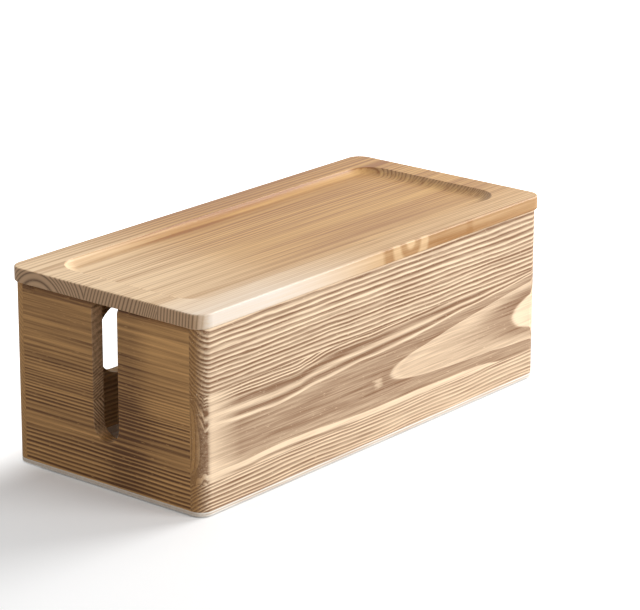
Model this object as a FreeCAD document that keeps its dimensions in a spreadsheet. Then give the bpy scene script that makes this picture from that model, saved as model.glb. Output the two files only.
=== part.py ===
import FreeCAD, Part
import math
import os
import Sketcher

# A wooden cable management box with a lift-off lid, 400 x 185 x 149 mm.
# Every wall is a panel edge-glued from staves, so each stave is a piece of its own.
# Frame: X along the length, Y across, Z up, origin on the ground under the middle.
# The plain wall faces -Y, the wall with the cable opening faces +Y.

DRIVING = [
    ("body_length", 396.0, "walls and base, along X"),
    ("body_width", 181.0, "walls and base, along Y"),
    ("wall_height", 134.0, "walls, from the base panel to the lid"),
    ("wall", 11.0, "thickness of the wall boards"),
    ("corner_radius", 10.0, "rounding of the upright corners"),
    ("arris", 0.8, "easing of the sanded edges"),
    ("pad_thick", 1.0, "foot pads"),
    ("pad_radius", 7.0, "foot pads"),
    ("pad_inset", 17.0, "centre of a foot pad from the base panel's edges"),
    ("base_thick", 3.0, "plywood base panel"),
    ("front_lower_width", 20.6, "lowest stave of the front wall"),
    ("front_middle_width", 65.3, "middle stave of the front wall"),
    ("back_lower_width", 63.0, "lower stave of the back wall"),
    ("end_lower_width", 60.5, "lower stave of each end wall"),
    ("opening_length", 248.0, "cable opening in the back wall, end to end"),
    ("opening_height", 54.0, "cable opening, top to bottom"),
    ("opening_rise", 67.5, "middle of the cable opening above the base panel"),
    ("slot_width", 24.0, "cable slot in each end wall"),
    ("slot_floor", 32.0, "bottom of the slot above the base panel"),
    ("grip_runout", 8.0, "length over which the finger bevel fades out"),
    ("grip_margin", 3.5, "plain stretch between the fade and the wall"),
    ("grip_deep", 6.0, "height of the finger bevel at its deep end"),
    ("grip_shallow", 3.6, "height of the finger bevel at its shallow end"),
    ("grip_end", 0.2, "height at which the fading bevel stops"),
    ("grip_cut", 3.0, "how far the finger bevel cuts into the board at its deep end"),
    ("lid_thick", 11.0, "lid board"),
    ("lid_overhang", 2.0, "lid beyond the walls, all round"),
    ("lid_front_width", 40.5, "front stave of the lid"),
    ("lid_back_width", 75.0, "back stave of the lid"),
    ("lid_arris", 1.2, "easing of the lid's top and bottom edges"),
    ("tray_length", 358.0, "recess in the lid, along X"),
    ("tray_width", 137.4, "recess in the lid, along Y"),
    ("tray_depth", 4.5, "recess in the lid"),
    ("tray_corner", 22.0, "plan rounding of the recess"),
    ("tray_cove", 13.0, "radius of the hollow sides of the recess"),
    ("cleat_width", 22.0, "battens under the lid, along X"),
    ("cleat_thick", 8.0, "battens under the lid"),
    ("cleat_gap", 1.0, "play between a batten's end and the wall"),
    ("cleat_inset", 20.0, "from an end wall to the nearer side of a batten"),
    ("cleat_bevel", 1.5, "chamfer on a batten's lower edges"),
    ("pin_radius", 0.6, "headless pins through the corners"),
    ("pin_length", 28.0, "corner pins"),
    ("pin_sink", 2.0, "from a long wall's face to the sunk head of a corner pin"),
    ("pin_low", 10.0, "lowest pin above the base panel"),
    ("pin_middle", 46.0, "middle pin above the base panel"),
    ("pin_high", 109.0, "highest pin above the base panel"),
    ("brad_radius", 0.8, "brads that hold the base panel"),
    ("brad_length", 16.0, "base brads"),
    ("brad_head_radius", 1.6, "heads of the base brads"),
    ("brad_head_thick", 0.9, "heads of the base brads"),
    ("brad_pitch", 110.0, "spacing of the brads along the long walls"),
    ("brad_side", 45.0, "brads in the end walls, from the middle"),
    ("screw_radius", 1.5, "screws through the battens"),
    ("screw_length", 15.0, "screws through the battens"),
    ("screw_head_radius", 3.0, "countersunk heads"),
    ("screw_head_thick", 1.8, "countersunk heads"),
    ("screw_inset", 7.5, "screws, from a batten's end"),
    ("fit", 0.05, "radial play of every pin, brad and screw in its bore"),
]

doc = FreeCAD.newDocument("cable_box")
sheet = doc.addObject("Spreadsheet::Sheet", "Sizes")
for row, (alias, value, note) in enumerate(DRIVING, start=1):
    sheet.set(f"A{row}", alias)
    sheet.set(f"B{row}", str(value))
    sheet.set(f"C{row}", note)
    sheet.setAlias(f"B{row}", alias)
doc.recompute()

# Heights and half sizes that several pieces share.
HALF_LENGTH = "Sizes.body_length / 2"
HALF_WIDTH = "Sizes.body_width / 2"
BASE_Z = "Sizes.pad_thick"
WALL_Z = "(Sizes.pad_thick + Sizes.base_thick)"
LID_Z = f"({WALL_Z} + Sizes.wall_height)"
LID_TOP = f"({LID_Z} + Sizes.lid_thick)"
END_SPAN = "(Sizes.body_width - 2 * Sizes.wall)"
LID_LENGTH = "(Sizes.body_length + 2 * Sizes.lid_overhang)"
LID_WIDTH = "(Sizes.body_width + 2 * Sizes.lid_overhang)"
LID_CORNER = "Sizes.corner_radius + Sizes.lid_overhang"
END_CENTRE = "(Sizes.body_length / 2 - Sizes.wall / 2)"
SIDE_CENTRE = "(Sizes.body_width / 2 - Sizes.wall / 2)"
CLEAT_X = "(Sizes.body_length / 2 - Sizes.wall - Sizes.cleat_inset - Sizes.cleat_width / 2)"

# Two places closer than this are one place, and a cut smaller than this, in cubic
# millimetres, has missed.
TOUCH = 0.01
LEAST_CUT = 1.0

parts = []


def place(obj, x="0", y="0", z="0"):
    """Bind an object's position to the sheet."""
    for axis, value in (("x", x), ("y", y), ("z", z)):
        obj.setExpression(f"Placement.Base.{axis}", value)


def keep(obj, label):
    """Name an object as a finished piece."""
    obj.Label = label
    parts.append(obj)
    return obj


def plane(body, role):
    """One of the body's own origin planes."""
    return next(item for item in body.Origin.OriginFeatures if item.Role == role)


def sketch_on(body, role, name, shift=("0", "0", "0")):
    """An empty sketch on an origin plane, moved in the plane's own axes."""
    sketch = body.newObject("Sketcher::SketchObject", name)
    sketch.AttachmentSupport = [(plane(body, role), "")]
    sketch.MapMode = "FlatFace"
    for axis, value in zip("xyz", shift):
        sketch.setExpression(f"AttachmentOffset.Base.{axis}", value)
    return sketch


def size(sketch, name, value):
    """Bind the constraint that was added last."""
    index = sketch.ConstraintCount - 1
    sketch.renameConstraint(index, name)
    sketch.setExpression(f"Constraints.{name}", value)


def polygon(sketch, points):
    """A closed run of straight lines through the points."""
    corners = [FreeCAD.Vector(x, y, 0) for x, y in points]
    count = len(corners)
    first = sketch.GeometryCount
    for index, corner in enumerate(corners):
        sketch.addGeometry(Part.LineSegment(corner, corners[(index + 1) % count]), False)
    for index in range(count):
        following = first + (index + 1) % count
        sketch.addConstraint(Sketcher.Constraint("Coincident", first + index, 2, following, 1))
    return first


def rectangle(sketch, along, across):
    """A rectangle from the sketch's origin into its first quadrant, drawn small, then bound."""
    first = polygon(sketch, [(0, 0), (10, 0), (10, 5), (0, 5)])
    for offset, kind in enumerate(("Horizontal", "Vertical", "Horizontal", "Vertical")):
        sketch.addConstraint(Sketcher.Constraint(kind, first + offset))
    sketch.addConstraint(Sketcher.Constraint("Coincident", first, 1, -1, 1))
    sketch.addConstraint(Sketcher.Constraint("DistanceX", first, 1, first, 2, 10))
    size(sketch, "along", along)
    sketch.addConstraint(Sketcher.Constraint("DistanceY", first + 1, 1, first + 1, 2, 5))
    size(sketch, "across", across)


def plank(name, length, depth, height, x, y, z, half_turn=False):
    """A planed strip: its low corner is the body's origin, which is then placed."""
    body = doc.addObject("PartDesign::Body", name)
    if half_turn:
        turn = FreeCAD.Rotation(FreeCAD.Vector(0, 0, 1), 180)
        body.Placement = FreeCAD.Placement(FreeCAD.Vector(), turn)
    outline = sketch_on(body, "XY_Plane", name + "_outline")
    rectangle(outline, length, depth)
    pad = body.newObject("PartDesign::Pad", name + "_board")
    pad.Profile = outline
    pad.setExpression("Length", height)
    outline.Visibility = False
    place(body, x, y, z)
    doc.recompute()
    return body


def dress(body, kind, suffix, radius, test):
    """A fillet or chamfer on the tip's edges whose middle and direction pass the test."""
    tip = body.Tip
    box = FreeCAD.BoundBox()
    for vertex in tip.Shape.Vertexes:
        box.add(vertex.Point)
    names = []
    for index, edge in enumerate(tip.Shape.Edges, start=1):
        middle = edge.valueAt((edge.FirstParameter + edge.LastParameter) / 2)
        run = edge.tangentAt((edge.FirstParameter + edge.LastParameter) / 2)
        if test(middle, run, box):
            names.append(f"Edge{index}")
    if not names:
        raise RuntimeError(f"{body.Name}: no edge found for {suffix}")
    feature = body.newObject("PartDesign::" + kind, f"{body.Name}_{suffix}")
    feature.Base = (tip, names)
    feature.setExpression("Radius" if kind == "Fillet" else "Size", radius)
    body.Tip = feature
    doc.recompute()


def near(a, b):
    """Equal to within a hundredth of a millimetre."""
    return abs(a - b) < TOUCH


def within(spot, centre, width):
    """Inside a stretch of the given width about the centre, its ends included."""
    return abs(spot - centre) < width / 2 + TOUCH


def pocket(body, sketch, suffix):
    """Cut a sketch right through the body, both ways, and see that it cut."""
    before = body.Shape.Volume
    cut = body.newObject("PartDesign::Pocket", f"{body.Name}_{suffix}")
    cut.Profile = sketch
    cut.Type = "ThroughAll"
    cut.Midplane = True
    sketch.Visibility = False
    doc.recompute()
    if body.Shape.Volume > before - LEAST_CUT:
        raise RuntimeError(f"{body.Name}: {suffix} cut nothing")


def cylinder(name, radius, length, x, y, z, turn=None):
    """A round bar that starts at the given point, along Z or turned."""
    bar = doc.addObject("Part::Cylinder", name)
    bar.setExpression("Radius", radius)
    bar.setExpression("Height", length)
    if turn:
        bar.Placement = FreeCAD.Placement(FreeCAD.Vector(), FreeCAD.Rotation(*turn))
    place(bar, x, y, z)
    return bar


def group(name, members):
    """Several separate solids under one name."""
    compound = doc.addObject("Part::Compound", name)
    compound.Links = members
    return compound


# Fasteners. Each has a solid and a bore that is wider by the fit.
def corner_pins(kind, sink, play="0"):
    """Three headless pins through each upright corner, into the end boards."""
    bars = []
    for side, turn in ((-1, -90), (1, 90)):
        for end in (-1, 1):
            for height in ("low", "middle", "high"):
                bars.append(cylinder(
                    f"{kind}_{height}_{side + 1}{end + 1}",
                    f"Sizes.pin_radius + {play}",
                    f"Sizes.pin_length + Sizes.pin_sink - {sink}",
                    f"{end} * {END_CENTRE}",
                    f"{side} * ({HALF_WIDTH} - {sink})",
                    f"{WALL_Z} + Sizes.pin_{height}",
                    (FreeCAD.Vector(1, 0, 0), turn)))
    return bars


def brad_places():
    """Where the base brads stand: four along each long wall, two in each end wall."""
    spots = []
    for side in (-1, 1):
        for step in (-1.5, -0.5, 0.5, 1.5):
            spots.append((f"{step} * Sizes.brad_pitch", f"{side} * {SIDE_CENTRE}"))
    for end in (-1, 1):
        for side in (-1, 1):
            spots.append((f"{end} * {END_CENTRE}", f"{side} * Sizes.brad_side"))
    return spots


def headed(kind, spots, z, play="0"):
    """Brads or screws that point up from z, each a shank fused with its tapered head."""
    sort = kind.split("_")[0]
    bars = []
    for index, (x, y) in enumerate(spots):
        shank = cylinder(f"{kind}_shank_{index}", f"Sizes.{sort}_radius + {play}",
                         f"Sizes.{sort}_length + {play}", x, y, z)
        head = doc.addObject("Part::Cone", f"{kind}_head_{index}")
        head.setExpression("Radius1", f"Sizes.{sort}_head_radius + {play}")
        head.setExpression("Radius2", f"Sizes.{sort}_radius + {play}")
        head.setExpression("Height", f"Sizes.{sort}_head_thick")
        place(head, x, y, z)
        whole = doc.addObject("Part::Fuse", f"{kind}_{index}")
        whole.Base = shank
        whole.Tool = head
        bars.append(whole)
    return bars


SCREW_Y = f"({END_SPAN} / 2 - Sizes.cleat_gap - Sizes.screw_inset)"
SCREW_SPOTS = [(f"{end} * {CLEAT_X}", f"{side} * {SCREW_Y}") for end in (-1, 1) for side in (-1, 1)]
SCREW_Z = f"{LID_Z} - Sizes.cleat_thick"

keep(group("corner_pins", corner_pins("pin", "Sizes.pin_sink")), "corner_pins")
keep(group("base_brads", headed("brad", brad_places(), BASE_Z)), "base_brads")
keep(group("cleat_screws", headed("screw", SCREW_SPOTS, SCREW_Z)), "cleat_screws")

box_bores = group("box_bores", corner_pins("pin_bore", "0", "Sizes.fit")
                  + headed("brad_bore", brad_places(), BASE_Z, "Sizes.fit"))
screw_bores = group("screw_bores", headed("screw_bore", SCREW_SPOTS, SCREW_Z, "Sizes.fit"))


def cut_from(body, tool, label):
    """A finished piece: the body less the tool."""
    cut = doc.addObject("Part::Cut", label)
    cut.Base = body
    cut.Tool = tool
    return keep(cut, label)


def upright(middle, run):
    return abs(run.z) > 0.99


def round_outer_corners(body, outer_is_low):
    """Round the two upright corners on the outside of a long wall's stave."""
    def outer(middle, run, box):
        face = box.YMin if outer_is_low else box.YMax
        return upright(middle, run) and near(middle.y, face)
    dress(body, "Fillet", "corners", "Sizes.corner_radius", outer)


def ease_top(body, outer_is_low):
    """Ease the top outer arris of a wall's highest stave, round the corners too."""
    def top_outer(middle, run, box):
        inner = box.YMax if outer_is_low else box.YMin
        level = near(middle.z, box.ZMax)
        return level and not near(middle.y, inner)
    dress(body, "Fillet", "top_arris", "Sizes.arris", top_outer)


# Front wall: three staves.
FRONT_STAVES = [
    ("front_lower_stave", "Sizes.front_lower_width", WALL_Z),
    ("front_middle_stave", "Sizes.front_middle_width", f"{WALL_Z} + Sizes.front_lower_width"),
    ("front_upper_stave",
     "Sizes.wall_height - Sizes.front_lower_width - Sizes.front_middle_width",
     f"{WALL_Z} + Sizes.front_lower_width + Sizes.front_middle_width"),
]
for label, width, z in FRONT_STAVES:
    stave = plank(label + "_body", "Sizes.body_length", "Sizes.wall", width,
                  f"-{HALF_LENGTH}", f"-{HALF_WIDTH}", z)
    round_outer_corners(stave, True)
    if label == "front_upper_stave":
        ease_top(stave, True)
    cut_from(stave, box_bores, label)


def obround(sketch, length, height):
    """A slot with round ends, about the sketch's origin. It is drawn at any size, then bound."""
    half = 50.0
    radius = 20.0
    vector = FreeCAD.Vector
    up = vector(0, 0, 1)
    right = Part.Circle(vector(half, 0, 0), up, radius)
    left = Part.Circle(vector(-half, 0, 0), up, radius)
    sketch.addGeometry(Part.ArcOfCircle(right, -math.pi / 2, math.pi / 2), False)
    sketch.addGeometry(Part.ArcOfCircle(left, math.pi / 2, 1.5 * math.pi), False)
    sketch.addGeometry(Part.LineSegment(vector(half, radius, 0), vector(-half, radius, 0)), False)
    sketch.addGeometry(Part.LineSegment(vector(-half, -radius, 0), vector(half, -radius, 0)), False)
    for arc, arc_end, line, line_end in ((0, 2, 2, 1), (1, 1, 2, 2), (1, 2, 3, 1), (0, 1, 3, 2)):
        sketch.addConstraint(Sketcher.Constraint("Tangent", arc, arc_end, line, line_end))
    for line in (2, 3):
        sketch.addConstraint(Sketcher.Constraint("Horizontal", line))
    sketch.addConstraint(Sketcher.Constraint("Symmetric", 0, 3, 1, 3, -1, 1))
    sketch.addConstraint(Sketcher.Constraint("Radius", 0, radius))
    size(sketch, "end_radius", f"{height} / 2")
    sketch.addConstraint(Sketcher.Constraint("DistanceX", 1, 3, 0, 3, 2 * half))
    size(sketch, "centres", f"{length} - {height}")


# Back wall: two staves, with the cable opening cut across their joint.
BACK_STAVES = [
    ("back_lower_stave", "Sizes.back_lower_width", WALL_Z, "0"),
    ("back_upper_stave", "Sizes.wall_height - Sizes.back_lower_width",
     f"{WALL_Z} + Sizes.back_lower_width", "Sizes.back_lower_width"),
]
for label, width, z, rise in BACK_STAVES:
    stave = plank(label + "_body", "Sizes.body_length", "Sizes.wall", width,
                  f"-{HALF_LENGTH}", f"{HALF_WIDTH} - Sizes.wall", z)
    round_outer_corners(stave, False)
    if label == "back_upper_stave":
        ease_top(stave, False)
    opening = sketch_on(stave, "XZ_Plane", label + "_opening",
                        (HALF_LENGTH, f"Sizes.opening_rise - {rise}", "0"))
    obround(opening, "Sizes.opening_length", "Sizes.opening_height")
    pocket(stave, opening, "opening_cut")

    def rim(middle, run, box):
        inside = within(middle.x, box.Center.x, sheet.opening_length)
        level = near(middle.z, box.ZMin) or near(middle.z, box.ZMax)
        return inside and near(middle.y, box.YMax) and not level
    dress(stave, "Fillet", "opening_arris", "Sizes.arris", rim)
    cut_from(stave, box_bores, label)


def slot_profile(sketch, width, height):
    """A slot that is open above, with a half-round floor about the sketch's origin."""
    radius = 10.0
    top = 100.0
    vector = FreeCAD.Vector
    floor = Part.Circle(vector(0, 0, 0), vector(0, 0, 1), radius)
    sketch.addGeometry(Part.ArcOfCircle(floor, math.pi, 2 * math.pi), False)
    sketch.addGeometry(Part.LineSegment(vector(radius, 0, 0), vector(radius, top, 0)), False)
    sketch.addGeometry(Part.LineSegment(vector(radius, top, 0), vector(-radius, top, 0)), False)
    sketch.addGeometry(Part.LineSegment(vector(-radius, top, 0), vector(-radius, 0, 0)), False)
    sketch.addConstraint(Sketcher.Constraint("Tangent", 0, 2, 1, 1))
    sketch.addConstraint(Sketcher.Constraint("Coincident", 1, 2, 2, 1))
    sketch.addConstraint(Sketcher.Constraint("Coincident", 2, 2, 3, 1))
    sketch.addConstraint(Sketcher.Constraint("Tangent", 3, 2, 0, 1))
    sketch.addConstraint(Sketcher.Constraint("Coincident", 0, 3, -1, 1))
    for line, kind in ((1, "Vertical"), (2, "Horizontal"), (3, "Vertical")):
        sketch.addConstraint(Sketcher.Constraint(kind, line))
    sketch.addConstraint(Sketcher.Constraint("Radius", 0, radius))
    size(sketch, "floor_radius", f"{width} / 2")
    sketch.addConstraint(Sketcher.Constraint("DistanceY", 1, 1, 1, 2, top))
    size(sketch, "rise", height)


def triangle(sketch, depth, height):
    """The section that a finger bevel takes off a square top edge."""
    first = polygon(sketch, [(0, 0), (3, 0), (0, -5)])
    sketch.addConstraint(Sketcher.Constraint("Coincident", first, 1, -1, 1))
    sketch.addConstraint(Sketcher.Constraint("Horizontal", first))
    sketch.addConstraint(Sketcher.Constraint("Vertical", first + 2))
    sketch.addConstraint(Sketcher.Constraint("DistanceX", first, 1, first, 2, 3))
    size(sketch, "cut", depth)
    sketch.addConstraint(Sketcher.Constraint("DistanceY", first + 2, 1, first + 2, 2, 5))
    size(sketch, "drop", height)
    return first


def grip_section(body, name, distance, height, top):
    """One section of the finger bevel, the given distance along the board."""
    section = sketch_on(body, "XZ_Plane", name, ("0", top, f"-({distance})"))
    triangle(section, f"Sizes.grip_cut * ({height}) / Sizes.grip_deep", height)
    return section


def cut_grip(body, sections, top):
    """Take a finger bevel off the top outer edge, through its sections in order."""
    sketches = []
    for index, (distance, height) in enumerate(sections):
        name = f"{body.Name}_grip_{index}"
        sketches.append(grip_section(body, name, distance, height, top))
    before = body.Shape.Volume
    loft = body.newObject("PartDesign::SubtractiveLoft", f"{body.Name}_grip")
    loft.Profile = sketches[0]
    loft.Sections = sketches[1:]
    loft.Ruled = True
    for sketch in sketches:
        sketch.Visibility = False
    doc.recompute()
    if body.Shape.Volume > before - LEAST_CUT:
        raise RuntimeError(f"{body.Name}: the finger bevel cut nothing")


# End walls. The lower stave holds the slot's round floor. The slot is open above, so it parts
# the upper stave into two halves. The right wall is the left one turned half round.
HALF_SPAN = f"({END_SPAN} - Sizes.slot_width) / 2"
UPPER_WIDTH = "(Sizes.wall_height - Sizes.end_lower_width)"
GRIP_RUN = f"({HALF_SPAN} - Sizes.grip_margin - Sizes.grip_runout)"
GRIP_SPAN = f"({END_SPAN} - Sizes.grip_margin - Sizes.grip_runout)"
GRIP_FALL = f"(Sizes.grip_deep - Sizes.grip_shallow) / {GRIP_SPAN}"

for side, turned, deep_half, shallow_half in (("left", False, "back", "front"),
                                              ("right", True, "front", "back")):
    sign = 1 if turned else -1

    def end_plank(name, length, height, start, z):
        """A stave of this end wall that starts so far along it."""
        return plank(name + "_body", "Sizes.wall", length, height, f"{sign} * {HALF_LENGTH}",
                     f"{sign} * ({END_SPAN} / 2 - ({start}))", z, turned)

    lower = f"{side}_end_lower_stave"
    stave = end_plank(lower, END_SPAN, "Sizes.end_lower_width", "0", WALL_Z)
    slot = sketch_on(stave, "YZ_Plane", lower + "_slot",
                     (f"{END_SPAN} / 2", "Sizes.slot_floor + Sizes.slot_width / 2", "0"))
    slot_profile(slot, "Sizes.slot_width", "Sizes.wall_height")
    pocket(stave, slot, "slot_cut")

    def slot_rim(middle, run, box):
        inside = within(middle.y, box.Center.y, sheet.slot_width)
        level = near(middle.z, box.ZMin) or near(middle.z, box.ZMax)
        return inside and near(middle.x, box.XMin) and not level
    dress(stave, "Fillet", "slot_arris", "Sizes.arris", slot_rim)
    cut_from(stave, box_bores, lower)

    upper_z = f"{WALL_Z} + Sizes.end_lower_width"
    for half, start, sections in (
            (shallow_half, "0", [
                ("0", "Sizes.grip_shallow"),
                (HALF_SPAN, f"Sizes.grip_deep - {GRIP_FALL} * ({GRIP_RUN} + Sizes.slot_width)")]),
            (deep_half, f"{HALF_SPAN} + Sizes.slot_width", [
                ("0", f"Sizes.grip_deep - {GRIP_FALL} * {GRIP_RUN}"),
                (GRIP_RUN, "Sizes.grip_deep"),
                (f"{HALF_SPAN} - Sizes.grip_margin", "Sizes.grip_end")])):
        label = f"{side}_end_{half}_stave"
        stave = end_plank(label, HALF_SPAN, UPPER_WIDTH, start, upper_z)
        slot_at_high = half == shallow_half

        def slot_edge(middle, run, box):
            face = box.YMax if slot_at_high else box.YMin
            return upright(middle, run) and near(middle.x, box.XMin) and near(middle.y, face)
        dress(stave, "Fillet", "slot_arris", "Sizes.arris", slot_edge)
        cut_grip(stave, sections, UPPER_WIDTH)
        cut_from(stave, box_bores, label)

# Base panel, flush with the walls, on four pads.
base = plank("base_panel_body", "Sizes.body_length", "Sizes.body_width", "Sizes.base_thick",
             f"-{HALF_LENGTH}", f"-{HALF_WIDTH}", BASE_Z)
dress(base, "Fillet", "corners", "Sizes.corner_radius", lambda middle, run, box: upright(middle, run))
cut_from(base, box_bores, "base_panel")

for x_name, x_sign in (("left", -1), ("right", 1)):
    for y_name, y_sign in (("front", -1), ("back", 1)):
        pad = cylinder(f"{y_name}_{x_name}_pad", "Sizes.pad_radius", "Sizes.pad_thick",
                       f"{x_sign} * ({HALF_LENGTH} - Sizes.pad_inset)",
                       f"{y_sign} * ({HALF_WIDTH} - Sizes.pad_inset)", "0")
        keep(pad, f"{y_name}_{x_name}_pad")

# Lid: three staves with a shallow tray hollowed across them. The hollow's sides are the bottom
# of a quarter round, so its cutter is wider than the rim that it leaves.
COVE_REACH = "sqrt(Sizes.tray_cove ^ 2 - (Sizes.tray_cove - Sizes.tray_depth) ^ 2)"
COVE_SPARE = f"(Sizes.tray_cove - {COVE_REACH})"
CUTTER_LENGTH = f"(Sizes.tray_length + 2 * {COVE_SPARE})"
CUTTER_WIDTH = f"(Sizes.tray_width + 2 * {COVE_SPARE})"
tray_cutter = plank("tray_cutter", CUTTER_LENGTH, CUTTER_WIDTH, "2 * Sizes.tray_cove",
                    f"-{CUTTER_LENGTH} / 2", f"-{CUTTER_WIDTH} / 2",
                    f"{LID_TOP} - Sizes.tray_depth")
dress(tray_cutter, "Fillet", "corners", f"Sizes.tray_corner + {COVE_SPARE}",
      lambda middle, run, box: upright(middle, run))
dress(tray_cutter, "Fillet", "coves", "Sizes.tray_cove",
      lambda middle, run, box: near(middle.z, box.ZMin))

# Each stave's start and width, and whether its low and high side in Y is an outer side.
LID_STAVES = [
    ("lid_front_stave", "0", "Sizes.lid_front_width", True, False),
    ("lid_middle_stave", "Sizes.lid_front_width",
     f"({LID_WIDTH} - Sizes.lid_front_width - Sizes.lid_back_width)", False, False),
    ("lid_back_stave", f"({LID_WIDTH} - Sizes.lid_back_width)", "Sizes.lid_back_width", False, True),
]
for label, start, width, low_is_outer, high_is_outer in LID_STAVES:
    stave = plank(label + "_body", LID_LENGTH, width, "Sizes.lid_thick",
                  f"-{LID_LENGTH} / 2", f"{start} - {LID_WIDTH} / 2", LID_Z)

    def outer_corner(middle, run, box):
        outer = near(middle.y, box.YMin if low_is_outer else box.YMax)
        return upright(middle, run) and outer
    if low_is_outer or high_is_outer:
        dress(stave, "Fillet", "corners", LID_CORNER, outer_corner)

    def outer_edge(middle, run, box):
        level = near(middle.z, box.ZMin) or near(middle.z, box.ZMax)
        glued = (near(middle.y, box.YMin) and not low_is_outer
                 or near(middle.y, box.YMax) and not high_is_outer)
        return level and not glued
    dress(stave, "Fillet", "arris", "Sizes.lid_arris", outer_edge)
    hollowed = doc.addObject("Part::Cut", label + "_hollowed")
    hollowed.Base = stave
    hollowed.Tool = tray_cutter
    cut_from(hollowed, screw_bores, label)

# Battens under the lid. They keep it flat and drop between the long walls, so it stays put.
for side, sign in (("left", -1), ("right", 1)):
    label = f"{side}_cleat"
    cleat = plank(label + "_body", "Sizes.cleat_width", f"{END_SPAN} - 2 * Sizes.cleat_gap",
                  "Sizes.cleat_thick", f"{sign} * {CLEAT_X} - Sizes.cleat_width / 2",
                  f"Sizes.cleat_gap - {END_SPAN} / 2", SCREW_Z)
    dress(cleat, "Chamfer", "lead_in", "Sizes.cleat_bevel",
          lambda middle, run, box: near(middle.z, box.ZMin))
    cut_from(cleat, screw_bores, label)

doc.recompute()
for obj in doc.Objects:
    if "Invalid" in obj.State or "Error" in obj.State:
        raise RuntimeError(f"{obj.Name} ({obj.Label}) failed: {obj.State}")

os.makedirs("parts", exist_ok=True)
for obj in parts:
    if obj.Shape.isNull() or not obj.Shape.isValid():
        raise RuntimeError(f"{obj.Label} has no valid shape")
    obj.Shape.exportStep(f"parts/{obj.Label}.step")
    print(f"{obj.Label}: {len(obj.Shape.Solids)} solid(s), {obj.Shape.Volume:.0f} mm3")
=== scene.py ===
import math

import bmesh
import bpy
from mathutils import Matrix, Vector


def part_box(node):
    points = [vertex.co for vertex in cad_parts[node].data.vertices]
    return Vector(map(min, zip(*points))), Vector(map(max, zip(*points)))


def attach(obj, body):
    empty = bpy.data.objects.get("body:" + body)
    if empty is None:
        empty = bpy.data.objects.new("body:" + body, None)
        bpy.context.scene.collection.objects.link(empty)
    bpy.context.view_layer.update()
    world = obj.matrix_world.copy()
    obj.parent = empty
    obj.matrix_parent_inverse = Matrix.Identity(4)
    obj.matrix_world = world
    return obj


bl_info = {
    "name": "Wooden cable box",
    "version": (1, 0, 0),
    "blender": (4, 5, 0),
    "location": "3D View > Sidebar > Cable Box",
    "description": "Finishes a wooden cable management box and sets up its stage",
    "category": "Object",
}

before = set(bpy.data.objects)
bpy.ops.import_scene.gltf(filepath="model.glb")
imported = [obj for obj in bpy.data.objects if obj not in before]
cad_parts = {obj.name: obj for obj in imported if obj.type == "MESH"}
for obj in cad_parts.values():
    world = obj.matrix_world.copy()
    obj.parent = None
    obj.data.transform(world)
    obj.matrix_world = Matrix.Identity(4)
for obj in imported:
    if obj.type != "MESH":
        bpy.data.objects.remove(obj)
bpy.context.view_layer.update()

MM = 0.001

# The photograph's view: the camera's place and turn, and its focal length in pixels.
CAMERA_PLACE = (-1.6013, -1.3460, 0.7657)
CAMERA_AZIMUTH = -50.638
CAMERA_ELEVATION = 17.931
CAMERA_ROLL = 0.193
FOCAL_PIXELS = 2928
PHOTO_WIDTH = 640
SENSOR_WIDTH = 36.0

# The box's faces, in millimetres, read from the frame.
FRONT_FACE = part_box("front_middle_stave")[0].y / MM
BACK_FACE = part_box("back_lower_stave")[1].y / MM
LEFT_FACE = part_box("front_middle_stave")[0].x / MM
LID_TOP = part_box("lid_back_stave")[1].z / MM

# The sunk corner pins, the rounding that they come out through, and the filler over them.
PIN_RADIUS = 0.6
CORNER_RADIUS = 10.0
FILLER_REACH = 1.0
FILLER_SIDES = 24
# A pin's own levels lie within this many radii of each other.
PIN_LEVELS = 2.5

# Grain sizes along X, Y and Z: flamed long walls, flamed end walls, the planed lid.
LONG_WALL_GRAIN = (45, 0.9, 0.9)
END_WALL_GRAIN = (1.0, 70, 1.0)
LID_GRAIN = (90, 1.2, 1.2)
# Above this many millimetres a grain size runs along the grain.
LONG_GRAIN = 4.0
# Roughness of the pale and of the dark wood.
FLAMED_ROUGH = (0.78, 0.6)
PLANED_ROUGH = (0.5, 0.42)
# How strongly pale flecks show.
FLAMED_FLECK = 0.5
PLANED_FLECK = 0.2

# The stage, in metres: the floor's edge, and where along Y its shadow fades out behind the box.
FLOOR_SIDES = 96
FADE_START = 0.05
FADE_END = 0.13
# The glow that the floor shows to the camera, before the fade and after it.
FLOOR_GLOW = 0.06
FADED_GLOW = 0.8
# How bright the surroundings light the box. They look white.
AMBIENT = 0.47
# Each lamp's direction from the box and its watts, then their size and distance.
LAMPS = (("Key softbox", (0.86, -0.25, 0.45), 59.0),
         ("Fill softbox", (0.25, -0.85, 0.46), 29.5))
LAMP_SIZE = 1.6
LAMP_DISTANCE = 2.6


def linear(code):
    """A linear colour with alpha from an sRGB hex code."""
    parts = [int(code[place:place + 2], 16) / 255 for place in (1, 3, 5)]
    return tuple(c / 12.92 if c <= 0.04045 else ((c + 0.055) / 1.055) ** 2.4 for c in parts) + (1.0,)


def colour(name, description, code):
    """A colour property with its default as a hex code."""
    return bpy.props.FloatVectorProperty(name=name, description=description, default=linear(code),
                                         size=4, min=0.0, max=1.0, subtype="COLOR")


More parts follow.
